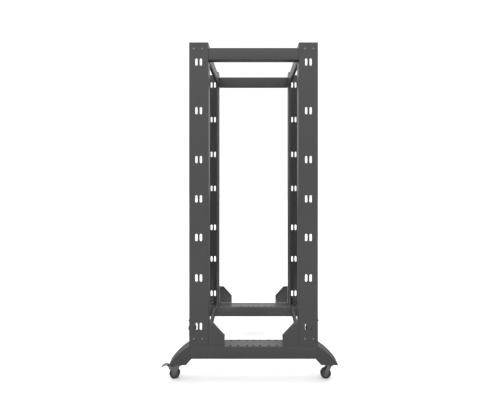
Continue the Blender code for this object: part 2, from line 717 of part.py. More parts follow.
def pedal_curve():
    """The pedal's upper line: from over the pivot up to the crest, and down to the tip, as a parabola."""
    start = (PEDAL_PIVOT[0] - PEDAL_HUB * 0.4, PEDAL_PIVOT[1] + PEDAL_HUB * 0.7)
    points = []
    for i in range(PEDAL_STEPS + 1):
        t = i / PEDAL_STEPS
        a, b, c = (1 - t) * (1 - 2 * t), 4 * t * (1 - t), t * (2 * t - 1)
        points.append(
            (
                a * start[0] + b * PEDAL_BEND[0] + c * PEDAL_TIP[0],
                a * start[1] + b * PEDAL_BEND[1] + c * PEDAL_TIP[1],
            )
        )
    return points


def make_pedal(name, parent, zinc):
    """The brake pedal: a bent plate on a round hub that turns on the fork's pin."""
    px, pz = PEDAL_PIVOT
    half = CHEEK_GAP / 2 - GAP - TURN_CLEARANCE
    curve = [(x - px, z - pz) for x, z in pedal_curve()]
    band = [(x, z - PEDAL_THICK) for x, z in reversed(curve)]
    bm = bmesh.new()
    add_prism(bm, curve + band, "y", -half, half)
    pedal = make_object(f"brake_pedal_{name}", bm, zinc, parent)
    hub, bore = bmesh.new(), bmesh.new()
    add_rod(hub, (0, 0), "y", PEDAL_HUB, -half, half, SHAFT_SIDES)
    change(pedal, hub, "UNION")
    add_rod(bore, (0, 0), "y", bore_radius(PEDAL_PIN), -2 * half, 2 * half, SHAFT_SIDES)
    change(pedal, bore, "DIFFERENCE")
    smooth(pedal)


def make_casters(rack, zinc, plastic, rubber):
    """All four wheels trail towards the front; the casters named in BRAKED have pedals."""
    for name, sx, sy in CORNERS:
        swivel = make_empty(f"swivel_axis_{name}", rack, (sx * STEM_X, sy * STEM_Y, 0))
        wheel = make_empty(f"wheel_axis_{name}", swivel, (-WHEEL_TRAIL, 0, WHEEL_RADIUS))
        make_top_plate(name, swivel, zinc)
        make_kingpin(name, swivel, zinc)
        make_fork(name, swivel, zinc, braked=name in BRAKED)
        make_axle(name, swivel, zinc)
        make_wheel(name, wheel, plastic, rubber)
        if name in BRAKED:
            pivot = make_empty(f"pedal_axis_{name}", swivel, (PEDAL_PIVOT[0], 0, PEDAL_PIVOT[1]))
            make_pedal(name, pivot, zinc)


def main():
    clear_scene()
    steel = make_material("powder_coated_steel", (0.085, 0.085, 0.087), 0.0, 0.5)
    zinc = make_material("dark_plated_steel", (0.12, 0.12, 0.12), 0.8, 0.4)
    plastic = make_material("wheel_plastic", (0.05, 0.05, 0.05), 0.0, 0.5)
    rubber = make_material("tyre_rubber", (0.03, 0.03, 0.03), 0.0, 0.75)
    rack = make_empty("rack", None, (RACK_X, 0, 0))
    make_posts(rack, steel)
    make_base_beams(rack, steel)
    make_feet(rack, steel)
    make_gussets(rack, steel)
    make_base_cross_members(rack, steel)
    make_top_beams(rack, steel)
    make_top_cross_members(rack, steel)
    make_top_brackets(rack, steel)
    make_base_brackets(rack, steel)
    make_casters(rack, zinc, plastic, rubber)


main()
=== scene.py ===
"""Looks of the open-frame server rack: folded and drilled steel, swivel casters, bolts, light and camera.

Metres, +Z up. Every shape is a set of points and faces worked out with numpy. Folded steel is cut flat, as
a pattern with holes, and then bent along its fold lines; bolts, wheels and bearing caps are profiles turned
about an axis. Corner pieces are drawn in the corner where X and Y are positive, from the rack's own centre,
and mirrored into the other three.
"""

import math

import bpy
import numpy as np
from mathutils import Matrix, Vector, geometry


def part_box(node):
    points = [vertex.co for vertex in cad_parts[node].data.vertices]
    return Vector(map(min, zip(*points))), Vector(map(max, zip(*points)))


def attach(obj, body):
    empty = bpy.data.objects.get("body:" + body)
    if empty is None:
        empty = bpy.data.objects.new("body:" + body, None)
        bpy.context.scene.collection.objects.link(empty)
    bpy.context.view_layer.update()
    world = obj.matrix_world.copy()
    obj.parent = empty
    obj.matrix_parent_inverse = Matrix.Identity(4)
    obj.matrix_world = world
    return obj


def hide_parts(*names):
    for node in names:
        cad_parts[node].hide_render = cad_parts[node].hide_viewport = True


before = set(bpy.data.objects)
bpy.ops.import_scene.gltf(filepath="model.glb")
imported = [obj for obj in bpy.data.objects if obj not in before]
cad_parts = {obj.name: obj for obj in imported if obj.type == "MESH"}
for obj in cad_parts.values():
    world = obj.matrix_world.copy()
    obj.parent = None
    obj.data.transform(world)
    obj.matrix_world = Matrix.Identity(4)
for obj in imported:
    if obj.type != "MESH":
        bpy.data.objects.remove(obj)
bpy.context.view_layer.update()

# Sizes that the frame's boxes don't give
SHEET = 0.002
GAP = 0.0003
BEND = 0.0024  # outer radius of a fold
BEND_STEPS = 5
RACK_UNIT = 0.04445
UNIT_HOLES = (0.00635, 0.022225, 0.0381)
UNIT_HOLE_SIZE = 0.0095
UNIT_HOLE_EDGE = 0.0075
POST_LIP = 0.012
POST_MARGIN = 0.0019
SLOT = (0.011, 0.034)
SLOT_PITCH = 0.021
RIGHT_SLOTS = (0.0658, 0.2250, 0.3582, 0.4855, 0.6145, 0.7754, 0.9353)
LEFT_SLOTS = (0.0412, 0.1923, 0.3308, 0.5019, 0.6513, 0.8041, 0.9563)
LEFT_SLOT_SHIFT = 0.005
BRAKED = ("front_right", "rear_left")
WEB_BOLTS = (0.022, 0.0615)
WEB_BOLT_BASE = 0.0353
WEB_BOLT_TOP = 0.0305
BOLT_HOLE = 0.0033
CORNER_BOLT_INSET = 0.030
CORNER_BOLT_LOW = 0.010  # above the top beam's underside
CORNER_BOLT_HIGH = 0.008  # below its top
CROSS_BOLT_RISE = 0.011
BEAM_HOLES = (0.030, 0.073, 0.110)
BEAM_HOLE_EDGE = 0.009
BEAM_HOLE_RADIUS = 0.0055
BASE_CROSS_LIP = 0.013
PLATE_HOLE_PITCH = 0.044
CHEEK = 0.0025
PEDAL_THICK = 0.0026

# Where the frame's pieces are
POST_LOW, POST_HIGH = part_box("post_rear_left")
RACK_X = (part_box("post_front_left")[0].x + POST_HIGH.x) / 2
HALF_DEPTH = POST_HIGH.x - RACK_X
POST_INNER = POST_LOW.x - RACK_X
HALF_OPENING, HALF_WIDTH = POST_LOW.y, POST_HIGH.y
BEAM_LOW, BEAM_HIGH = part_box("base_beam_left")
TOP_BEAM_LOW, TOP_BEAM_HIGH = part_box("top_beam_left")
TOP_CROSS_LOW, TOP_CROSS_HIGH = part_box("top_cross_member_rear")
BASE_CROSS_LOW, BASE_CROSS_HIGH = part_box("base_cross_member_rear")
PLATE_LOW, PLATE_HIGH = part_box("caster_plate_rear_left")
STEM = ((PLATE_LOW.x + PLATE_HIGH.x) / 2 - RACK_X, (PLATE_LOW.y + PLATE_HIGH.y) / 2)
CORNER_BOLT_HEIGHTS = (TOP_BEAM_LOW.z + CORNER_BOLT_LOW, TOP_BEAM_HIGH.z - CORNER_BOLT_HIGH)
CORNER_BOLT_Y = HALF_WIDTH - CORNER_BOLT_INSET
CROSS_BOLT_HEIGHTS = (BASE_CROSS_LOW.z + CROSS_BOLT_RISE, BEAM_HIGH.z - CROSS_BOLT_RISE)
CROSS_BOLT_X = (BASE_CROSS_LOW.x + BASE_CROSS_LIP + BASE_CROSS_HIGH.x) / 2 - RACK_X

ENDS = (("front", -1), ("rear", 1))
SIDES = (("right", -1), ("left", 1))
CORNERS = [(f"{end}_{side}", sx, sy) for end, sx in ENDS for side, sy in SIDES]


# Shapes: a shape is (points, [triangles, quads]), with faces that point outwards


def joined(*shapes):
    points, faces, start = [], [], 0
    for shape_points, shape_faces in shapes:
        points.append(shape_points)
        faces += [face + start for face in shape_faces]
        start += len(shape_points)
    return np.vstack(points), faces


def mirrored(shape, sx, sy):
    """The shape in the corner with these signs; its faces are turned round when the mirror turned them."""
    points, faces = shape
    if sx * sy < 0:
        faces = [face[:, ::-1] for face in faces]
    return points * (sx, sy, 1), faces


def moved(shape, offset):
    return shape[0] + np.asarray(offset, float), shape[1]


def in_space(axis, across, along):
    """Points (a, b) across an axis and their places along it, as XYZ."""
    a, b = across[:, 0], across[:, 1]
    columns = {"x": (along, a, b), "y": (a, along, b), "z": (a, b, along)}[axis]
    return np.column_stack(columns)


def round_hole(centre, radius, steps=16):
    """Points on a circle, at even angles."""
    angle = 2 * np.pi * np.arange(steps) / steps
    return np.asarray(centre) + radius * np.column_stack((np.cos(angle), np.sin(angle)))


def slot_hole(centre, size, steps=8):
    """Two half circles of the slot's width, a straight apart."""
    radius = size[0] / 2
    angle = np.pi * np.arange(steps + 1) / steps
    half = np.column_stack((radius * np.cos(angle), size[1] / 2 - radius + radius * np.sin(angle)))
    return np.asarray(centre) + np.vstack((half, -half))


def rounded(corners, radius, steps=4):
    """An outline with each corner cut back and replaced by the arc that touches both its sides."""
    corners = np.asarray(corners, float)
    radii = np.broadcast_to(radius, len(corners))
    arcs = []
    neighbours = np.roll(corners, 1, 0), np.roll(corners, -1, 0)
    for corner, before, after, size in zip(corners, *neighbours, radii):
        back = (before - corner) / np.linalg.norm(before - corner)
        on = (after - corner) / np.linalg.norm(after - corner)
        half_turn = (np.pi - math.acos(np.clip(back @ on, -1, 1))) / 2
        if size == 0 or half_turn < 1e-3:
            arcs.append(corner[None])
            continue
        middle = (back + on) / np.linalg.norm(back + on)
        centre = corner + middle * size / math.cos(half_turn)
        swing = np.linspace(-half_turn, half_turn, steps + 1)
        sideways = (on - back) / np.linalg.norm(on - back)
        arcs.append(centre + size * (np.outer(np.sin(swing), sideways) - np.outer(np.cos(swing), middle)))
    return np.vstack(arcs)


def rectangle(a, b, corner=0.0, steps=4):
    outline = [(a[0], b[0]), (a[1], b[0]), (a[1], b[1]), (a[0], b[1])]
    return rounded(outline, corner, steps)


def counter_clockwise(loop):
    """The loop as it is, or turned round if the area under it, by corners, comes out negative."""
    a, b = loop, np.roll(loop, -1, 0)
    return loop if (a[:, 0] * b[:, 1] - a[:, 1] * b[:, 0]).sum() > 0 else loop[::-1]


def cut_flat(outline, holes=(), lines=()):
    """Triangles of a flat pattern less its holes. Every (start, end) in lines becomes a row of edges."""
    loops = [counter_clockwise(np.asarray(loop)) for loop in (outline, *holes)]
    starts = np.cumsum([0] + [len(loop) for loop in loops])
    faces = [list(range(a, b)) for a, b in zip(starts, starts[1:])]
    points = np.vstack(loops + [np.reshape(line, (2, 2)) for line in lines])
    edges = [(starts[-1] + 2 * i, starts[-1] + 2 * i + 1) for i in range(len(lines))]
    found = geometry.delaunay_2d_cdt([Vector(p) for p in points], edges, faces, 0, 1e-7)
    flat = np.array([tuple(v) for v in found[0]])
    triangles = np.array([face for face, of in zip(found[2], found[5]) if list(of) == [0]])
    a, b, c = (flat[triangles[:, i]] for i in range(3))
    clockwise = (b - a)[:, 0] * (c - a)[:, 1] - (b - a)[:, 1] * (c - a)[:, 0] < 0
    triangles[clockwise] = triangles[clockwise, ::-1]
    used, triangles = np.unique(triangles, return_inverse=True)
    return flat[used], triangles.reshape(-1, 3)


def with_thickness(front, back, triangles):
    """A closed shell: the front skin, the back skin turned round, and a rim of quads along free edges."""
    count = len(front)
    a, b, c = (front[triangles[:, i]] for i in range(3))
    facing = np.einsum("ij,ij->i", np.cross(b - a, c - a), front[triangles[:, 0]] - back[triangles[:, 0]])
    if facing.sum() < 0:
        triangles = triangles[:, ::-1]
    edges = np.vstack([triangles[:, [i, (i + 1) % 3]] for i in range(3)])
    forward = edges[:, 0] * count + edges[:, 1]
    free = edges[~np.isin(forward, edges[:, 1] * count + edges[:, 0])]
    rim = np.column_stack((free[:, 1], free[:, 0], free[:, 0] + count, free[:, 1] + count))
    return np.vstack((front, back)), [triangles, triangles[:, ::-1] + count, rim]


def slab(outline, axis, low, high, holes=()):
    """A flat plate: the pattern at one place along the axis, and again at the other."""
    flat, triangles = cut_flat(outline, holes)
    return with_thickness(*(in_space(axis, flat, np.full(len(flat), at)) for at in (low, high)), triangles)


def fold_line(corners, radius=BEND, steps=BEND_STEPS):
    """Distance, point and normal along a line whose corners are arcs, and each straight's start and end.

    On a straight the normal is the direction turned a quarter to the left; round an arc it turns evenly.
    """
    corners = np.asarray(corners, float)
    ways = np.diff(corners, axis=0)
    lengths = np.linalg.norm(ways, axis=1)
    ways /= lengths[:, None]
    headings = np.unwrap(np.arctan2(ways[:, 1], ways[:, 0]))
    turns = np.diff(headings)
    back = np.concatenate(([0], radius * np.tan(np.abs(turns) / 2), [0]))
    distance, points, angles, straights = [], [], [], []
    run = 0.0
    for i, way in enumerate(ways):
        flat = lengths[i] - back[i] - back[i + 1]
        straights.append((run, run + flat, back[i]))
        for place in (0, flat):
            distance.append(run + place)
            points.append(corners[i] + way * (back[i] + place))
            angles.append(headings[i])
        run += flat
        if i < len(turns):
            side = np.array((-way[1], way[0])) * np.sign(turns[i])
            centre = points[-1] + side * radius
            for step in range(1, steps):
                angle = turns[i] * step / steps
                c, s = math.cos(angle), math.sin(angle)
                arm = -side * radius
                distance.append(run + radius * abs(angle))
                points.append(centre + (c * arm[0] - s * arm[1], s * arm[0] + c * arm[1]))
                angles.append(headings[i] + angle)
            run += radius * abs(turns[i])
    angles = np.array(angles)
    normals = np.column_stack((-np.sin(angles), np.cos(angles)))
    return {"s": np.array(distance), "points": np.array(points), "normals": normals, "straights": straights}


def along_fold(fold, segment, distance):
    """Where a place this far from a segment's first corner lies on the flat pattern."""
    start, _, back = fold["straights"][segment]
    return start + distance - back


def folded(fold, axis, outline, holes=(), thickness=SHEET):
    """A flat pattern bent to the fold line: its outer skin on the line, the inner one along the normals."""
    outline = np.asarray(outline, float)
    low, high = outline[:, 1].min(), outline[:, 1].max()
    s = fold["s"]
    bends = [x for x in s if 1e-6 < x < s[-1] - 1e-6]
    lines = [((x, low - 0.001), (x, high + 0.001)) for x in bends]
    flat, triangles = cut_flat(outline, holes, lines)
    spot = [np.interp(flat[:, 0], s, fold["points"][:, i]) for i in range(2)]
    normal = [np.interp(flat[:, 0], s, fold["normals"][:, i]) for i in range(2)]
    outer = np.column_stack(spot)
    inner = outer + thickness * np.column_stack(normal)
    return with_thickness(in_space(axis, outer, flat[:, 1]), in_space(axis, inner, flat[:, 1]), triangles)


def turned(profile, axis, sides=32, centre=(0, 0), closed=False):
    """A profile of (radius, along[, hexagon]) turned about the axis.

    A hexagon share of 1 pulls a ring's radius in to the flats: radius x cos 30 / cos of the angle from the
    middle of the nearest flat. Open profiles start and end on the axis, with a fan at each end.
    """
    rows = np.array([(*row, 0.0)[:3] for row in profile], float)
    if not closed:
        rows = rows[1:-1]
    angle = 2 * np.pi * np.arange(sides) / sides
    flat = np.mod(angle, np.pi / 3) - np.pi / 6
    hexagon = math.cos(math.pi / 6) / np.cos(flat)
    radius = rows[:, :1] * (1 + rows[:, 2:] * (hexagon - 1))
    across = np.stack((radius * np.cos(angle), radius * np.sin(angle)), -1).reshape(-1, 2)
    across = across + np.asarray(centre)
    points = in_space(axis, across, np.repeat(rows[:, 1], sides))
    count = len(rows)
    here = np.arange(count if closed else count - 1)[:, None]
    side = np.arange(sides)[None]
    after, beside = (here + 1) % count, (side + 1) % sides
    corners = (here * sides + side, here * sides + beside, after * sides + beside, after * sides + side)
    quads = np.stack(corners, -1).reshape(-1, 4)
    faces = [quads]
    if not closed:
        ends = in_space(axis, np.array([centre, centre], float), np.array([profile[0][1], profile[-1][1]]))
        points = np.vstack((points, ends))
        first, last = len(points) - 2, len(points) - 1
        ring, next_ring = np.arange(sides), (np.arange(sides) + 1) % sides
        last_row = (count - 1) * sides
        start_fan = np.column_stack((next_ring, ring, np.full(sides, first)))
        end_fan = np.column_stack((ring + last_row, next_ring + last_row, np.full(sides, last)))
        faces += [start_fan, end_fan]
    shape = (points, faces)
    return shape if volume(shape) > 0 else (points, [face[:, ::-1] for face in faces])


def volume(shape):
    """Six times the signed volume under the faces, from the corners of each."""
    total = 0.0
    for face in shape[1]:
        a, b, c = (shape[0][face[:, i]] for i in range(3))
        total += np.einsum("ij,ij->", np.cross(a, b), c)
        if face.shape[1] == 4:
            d = shape[0][face[:, 3]]
            total += np.einsum("ij,ij->", np.cross(a, c), d)
    return total


def repeated(shape, places):
    """The same shape at each place."""
    return joined(*(moved(shape, place) for place in places))


def in_every_corner(shape):
    return moved(joined(*(mirrored(shape, sx, sy) for _, sx, sy in CORNERS)), (RACK_X, 0, 0))


def put(name, shape, material, body, replaces=(), bevel=0.0, sharp=35):
    """Puts a shape into the scene as a piece that rides on a body, smooth but for its sharp edges."""
    points, faces = shape
    mesh = bpy.data.meshes.new(name)
    mesh.from_pydata(points.tolist(), [], [corner for face in faces for corner in face.tolist()])
    mesh.validate()
    mesh.materials.append(material)
    mesh.shade_smooth()
    mesh.set_sharp_from_angle(angle=math.radians(sharp))
    piece = bpy.data.objects.new(name, mesh)
    bpy.context.collection.objects.link(piece)
    if bevel:
        soften(piece, bevel)
    if replaces:
        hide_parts(*replaces)
    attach(piece, body)
    return piece


def soften(piece, width, segments=2):
    """Rounds every sharp edge by a small radius, with normals that keep the flats flat."""
    bevel = piece.modifiers.new("softened edges", "BEVEL")
    bevel.width = width
    bevel.segments = segments
    bevel.limit_method = "ANGLE"
    bevel.angle_limit = math.radians(40)
    bevel.harden_normals = True


def softened_copy(node, material, body, width):
    """A node's own shape with its doubled points merged and its edges rounded."""
    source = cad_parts[node]
    count = len(source.data.vertices)
    points = np.empty(count * 3)
    source.data.vertices.foreach_get("co", points)
    points = points.reshape(-1, 3)
    merged, where = np.unique(np.round(points, 6), axis=0, return_inverse=True)
    faces = np.array([tuple(polygon.vertices) for polygon in source.data.polygons])
    triangles = where.reshape(-1)[faces]
    whole = (triangles[:, 0] != triangles[:, 1]) & (triangles[:, 1] != triangles[:, 2])
    whole &= triangles[:, 2] != triangles[:, 0]
    piece = put(f"{node}_steel", (merged, [triangles[whole]]), material, body, [node], width)
    flats = piece.modifiers.new("joined flats", "DECIMATE")
    flats.decimate_type = "DISSOLVE"
    flats.angle_limit = math.radians(0.5)
    piece.modifiers.move(len(piece.modifiers) - 1, 0)
    return piece


# Finishes


def new_group(name, inputs, outputs):
    group = bpy.data.node_groups.new(name, "ShaderNodeTree")
    for socket, value in inputs:
        made = group.interface.new_socket(socket, in_out="INPUT", socket_type="NodeSocketFloat")
        made.default_value = value
    for socket in outputs:
        group.interface.new_socket(socket, in_out="OUTPUT", socket_type="NodeSocketFloat")
    return group, group.nodes.new("NodeGroupInput"), group.nodes.new("NodeGroupOutput")


def add_math(tree, operation, first, second, clamp=False):
    node = tree.nodes.new("ShaderNodeMath")
    node.operation = operation
    node.use_clamp = clamp
    for socket, value in zip(node.inputs, (first, second)):
        if isinstance(value, bpy.types.NodeSocket):
            tree.links.new(value, socket)
        else:
            socket.default_value = value
    return node.outputs[0]


def add_noise(tree, coordinates, scale, detail=3.0, roughness=0.55):
    noise = tree.nodes.new("ShaderNodeTexNoise")
    noise.inputs["Detail"].default_value = detail
    noise.inputs["Roughness"].default_value = roughness
    tree.links.new(coordinates, noise.inputs["Vector"])
    if isinstance(scale, bpy.types.NodeSocket):
        tree.links.new(scale, noise.inputs["Scale"])
    else:
        noise.inputs["Scale"].default_value = scale
    return noise.outputs["Fac"]


def make_grain():
    """Baked-powder grain: fine pimples over a slow ripple, and a slow drift of tone."""
    group, given, out = new_group("powder_grain", [("Scale", 900.0), ("Ripple", 0.35)], ["Height", "Tone"])
    place = group.nodes.new("ShaderNodeTexCoord").outputs["Object"]
    fine = add_noise(group, place, given.outputs["Scale"], 2.0)
    slow = add_noise(group, place, add_math(group, "DIVIDE", given.outputs["Scale"], 6.0), 2.0)
    height = add_math(group, "ADD", fine, add_math(group, "MULTIPLY", slow, given.outputs["Ripple"]))
    group.links.new(height, out.inputs["Height"])
    group.links.new(add_noise(group, place, 7.0, 4.0, 0.65), out.inputs["Tone"])
    return group


def make_dust():
    """Thin dust: on what faces up, broken into patches by noise."""
    group, given, out = new_group("settled_dust", [("Amount", 0.3)], ["Mask"])
    place = group.nodes.new("ShaderNodeTexCoord").outputs["Object"]
    split = group.nodes.new("ShaderNodeSeparateXYZ")
    group.links.new(group.nodes.new("ShaderNodeNewGeometry").outputs["Normal"], split.inputs[0])
    facing = add_math(group, "SUBTRACT", split.outputs["Z"], 0.35, clamp=True)
    patches = add_noise(group, place, 28.0, 5.0, 0.7)
    settled = add_math(group, "MULTIPLY", facing, patches)
    mask = add_math(group, "MULTIPLY", settled, given.outputs["Amount"])
    group.links.new(mask, out.inputs["Mask"])
    return group


def add_group(tree, group, **values):
    node = tree.nodes.new("ShaderNodeGroup")
    node.node_tree = group
    for name, value in values.items():
        node.inputs[name.title()].default_value = value
    return node


def between(tree, share, low, high):
    """A number that runs from low to high as share goes from 0 to 1."""
    node = tree.nodes.new("ShaderNodeMapRange")
    node.inputs["To Min"].default_value = low
    node.inputs["To Max"].default_value = high
    tree.links.new(share, node.inputs["Value"])
    return node.outputs["Result"]


def tinted(tree, share, first, second):
    mix = tree.nodes.new("ShaderNodeMix")
    mix.data_type = "RGBA"
    mix.inputs["A"].default_value = (*first, 1)
    if isinstance(second, bpy.types.NodeSocket):
        tree.links.new(second, mix.inputs["B"])
    else:
        mix.inputs["B"].default_value = (*second, 1)
    tree.links.new(share, mix.inputs["Factor"])
    return mix


def new_material(name, metallic):
    material = bpy.data.materials.new(name)
    material.use_nodes = True
    shader = material.node_tree.nodes["Principled BSDF"]
    shader.inputs["Metallic"].default_value = metallic
    return material, material.node_tree, shader


def add_bump(tree, shader, height, strength, distance):
    bump = tree.nodes.new("ShaderNodeBump")
    bump.inputs["Strength"].default_value = strength
    bump.inputs["Distance"].default_value = distance
    tree.links.new(height, bump.inputs["Height"])
    tree.links.new(bump.outputs["Normal"], shader.inputs["Normal"])


def make_finish(name, dark, light, rough, metallic, dust, scale=900.0, bump=(0.25, 0.0002)):
    """A finish whose tone drifts between two colours, with grain in its height and roughness, and dust."""
    material, tree, shader = new_material(name, metallic)
    texture = add_group(tree, GRAIN, scale=scale)
    film = add_group(tree, FILM, amount=dust)
    tone = tinted(tree, texture.outputs["Tone"], dark, light)
    dusty = tinted(tree, film.outputs["Mask"], dark, DUST)
    tree.links.new(tone.outputs["Result"], dusty.inputs["A"])
    tree.links.new(dusty.outputs["Result"], shader.inputs["Base Color"])
    tree.links.new(between(tree, texture.outputs["Height"], *rough), shader.inputs["Roughness"])
    add_bump(tree, shader, texture.outputs["Height"], *bump)
    return material


DUST = (0.34, 0.33, 0.31)
GRAIN = make_grain()
FILM = make_dust()
POWDER = make_finish(
    "dark_grey_powder_coat",
    (0.036, 0.036, 0.037),
    (0.045, 0.045, 0.046),
    (0.29, 0.43),
    0.0,
    0.10,
)
PLATED = make_finish(
    "plated_fork_steel",
    (0.17, 0.17, 0.172),
    (0.25, 0.25, 0.25),
    (0.30, 0.46),
    0.85,
    0.12,
    scale=1400.0,
    bump=(0.12, 0.0001),
)
BLACKED = make_finish(
    "blackened_bolt_steel",
    (0.16, 0.16, 0.163),
    (0.23, 0.23, 0.23),
    (0.26, 0.42),
    0.9,
    0.06,
    scale=1600.0,
    bump=(0.10, 0.0001),
)
HUB_PLASTIC = make_finish(
    "moulded_hub_plastic",
    (0.10, 0.10, 0.10),
    (0.12, 0.12, 0.12),
    (0.40, 0.55),
    0.0,
    0.15,
    scale=1200.0,
    bump=(0.15, 0.0001),
)
RUBBER = make_finish(
    "tyre_rubber",
    (0.020, 0.020, 0.020),
    (0.030, 0.030, 0.029),
    (0.62, 0.85),
    0.0,
    0.25,
    scale=700.0,
    bump=(0.35, 0.0002),
)


# Frame


def post_shape(slots, shift):
    """A lipped channel: lip, drilled flange, slotted web, inner flange, lip, folded round the inside."""
    fold = fold_line(
        [
            (HALF_DEPTH - POST_LIP, HALF_OPENING),
            (HALF_DEPTH, HALF_OPENING),
            (HALF_DEPTH, HALF_WIDTH),
            (POST_INNER, HALF_WIDTH),
            (POST_INNER, HALF_OPENING),
            (POST_INNER + POST_LIP, HALF_OPENING),
        ]
    )
    low, high = POST_LOW.z, POST_HIGH.z
    units = int(round((high - low - 2 * POST_MARGIN) / RACK_UNIT))
    half = UNIT_HOLE_SIZE / 2
    column = along_fold(fold, 1, UNIT_HOLE_EDGE)
    square = rectangle((-half, half), (-half, half), 0.0006, 2)
    heights = [low + POST_MARGIN + unit * RACK_UNIT + up for unit in range(units) for up in UNIT_HOLES]
    holes = [square + (column, z) for z in heights]
    middle = along_fold(fold, 2, (HALF_DEPTH - POST_INNER) / 2 + shift)
    for share in slots:
        for side in (-0.5, 0.5):
            holes.append(slot_hole((middle + side * SLOT_PITCH, low + share * (high - low)), SLOT))
    for x, z in web_bolt_places():
        holes.append(round_hole((along_fold(fold, 2, HALF_DEPTH - x), z), BOLT_HOLE))
    for z in CORNER_BOLT_HEIGHTS:
        holes.append(round_hole((along_fold(fold, 3, CORNER_BOLT_INSET), z), BOLT_HOLE))
    return folded(fold, "z", rectangle((0, fold["s"][-1]), (low, high)), holes)


def web_bolt_places():
    heights = (POST_LOW.z + WEB_BOLT_BASE, POST_HIGH.z - WEB_BOLT_TOP)
    return [(HALF_DEPTH - back, z) for z in heights for back in WEB_BOLTS]


def make_posts():
    shapes = {-1: post_shape(RIGHT_SLOTS, 0), 1: post_shape(LEFT_SLOTS, LEFT_SLOT_SHIFT)}
    for corner, sx, sy in CORNERS:
        shape = moved(mirrored(shapes[sy], sx, sy), (RACK_X, 0, 0))
        put(f"post_{corner}_steel", shape, POWDER, "frame", [f"post_{corner}"], 0.00025)


def make_base_beams():
    """A channel folded down on both sides, drilled along its top, with a plate closing each end."""
    low, high = BEAM_LOW.z, BEAM_HIGH.z
    deep = HALF_WIDTH - HALF_OPENING
    fold = fold_line([(HALF_WIDTH, low), (HALF_WIDTH, high), (HALF_OPENING, high), (HALF_OPENING, low)])
    holes = []
    for x in [0, *BEAM_HOLES, *(-x for x in BEAM_HOLES)]:
        for edge in (BEAM_HOLE_EDGE, deep - BEAM_HOLE_EDGE):
            holes.append(round_hole((along_fold(fold, 1, edge), x), BEAM_HOLE_RADIUS))
    for x in (-CROSS_BOLT_X, CROSS_BOLT_X):
        for z in CROSS_BOLT_HEIGHTS:
            holes.append(round_hole((along_fold(fold, 2, high - z), x), BOLT_HOLE))
    channel = folded(fold, "x", rectangle((0, fold["s"][-1]), (-HALF_DEPTH, HALF_DEPTH)), holes)
    inside = SHEET + GAP
    outline = rectangle((HALF_OPENING + inside, HALF_WIDTH - inside), (low, high - inside), 0.001)
    plate = slab(outline, "x", HALF_DEPTH - SHEET, HALF_DEPTH)
    whole = joined(channel, plate, mirrored(plate, -1, 1))
    for side, sy in SIDES:
        shape = moved(mirrored(whole, 1, sy), (RACK_X, 0, 0))
        put(f"base_beam_{side}_steel", shape, POWDER, "frame", [f"base_beam_{side}"], 0.0003)


def make_top_beams():
    """A box beam folded from one sheet, its seam along the inner top edge, with a plate inside each end."""
    low, high = TOP_BEAM_LOW.z, TOP_BEAM_HIGH.z
    near, far = TOP_BEAM_LOW.y, TOP_BEAM_HIGH.y
    end = TOP_BEAM_HIGH.x - RACK_X
    inside = SHEET + GAP
    fold = fold_line([(near, high - inside), (near, low), (far, low), (far, high), (near, high)])
    tube = folded(fold, "x", rectangle((0, fold["s"][-1]), (-end, end)))
    holes = [round_hole((CORNER_BOLT_Y, z), BOLT_HOLE) for z in CORNER_BOLT_HEIGHTS]
    outline = rectangle((near + inside, far - inside), (low + inside, high - inside), 0.001)
    plate = slab(outline, "x", end - SHEET, end, holes)
    whole = joined(tube, plate, mirrored(plate, -1, 1))
    for side, sy in SIDES:
        shape = moved(mirrored(whole, 1, sy), (RACK_X, 0, 0))
        put(f"top_beam_{side}_steel", shape, POWDER, "frame", [f"top_beam_{side}"], 0.0003)


def make_top_cross_members():
    """A channel that opens outwards, its web running on past the flanges as two drilled tabs."""
    low, high = TOP_CROSS_LOW.z, TOP_CROSS_HIGH.z
    near, far = TOP_CROSS_LOW.x - RACK_X, TOP_CROSS_HIGH.x - RACK_X
    tab, end = TOP_CROSS_HIGH.y, HALF_OPENING - GAP
    fold = fold_line([(far, high), (near, high), (near, low), (far, low)])
    start, stop, _ = fold["straights"][1]
    last = fold["s"][-1]
    half = [(0, end), (start, end), (start, tab), (stop, tab), (stop, end), (last, end)]
    outline = half + [(s, -y) for s, y in reversed(half)]
    holes = []
    for y in (-CORNER_BOLT_Y, CORNER_BOLT_Y):
        for z in CORNER_BOLT_HEIGHTS:
            holes.append(round_hole((along_fold(fold, 1, high - z), y), BOLT_HOLE))
    channel = folded(fold, "y", outline, holes)
    for name, sx in ENDS:
        node = f"top_cross_member_{name}"
        shape = moved(mirrored(channel, sx, 1), (RACK_X, 0, 0))
        put(f"{node}_steel", shape, POWDER, "frame", [node], 0.0003)


def make_base_cross_members():
    """A shallow channel that opens outwards, with a drilled plate at each end."""
    low, high = BASE_CROSS_LOW.z, BASE_CROSS_HIGH.z
    near, far = BASE_CROSS_LOW.x - RACK_X, BASE_CROSS_HIGH.x - RACK_X
    lip, end = near + BASE_CROSS_LIP, BASE_CROSS_HIGH.y
    fold = fold_line([(lip, high), (near, high), (near, low), (lip, low)])
    channel = folded(fold, "y", rectangle((0, fold["s"][-1]), (SHEET + GAP - end, end - SHEET - GAP)))
    holes = [round_hole((CROSS_BOLT_X, z), BOLT_HOLE) for z in CROSS_BOLT_HEIGHTS]
    plate = slab(rectangle((near, far), (low, high), 0.004), "y", end - SHEET, end, holes)
    whole = joined(channel, plate, mirrored(plate, 1, -1))
    for name, sx in ENDS:
        node = f"base_cross_member_{name}"
        shape = moved(mirrored(whole, sx, 1), (RACK_X, 0, 0))
        put(f"{node}_steel", shape, POWDER, "frame", [node], 0.0003)


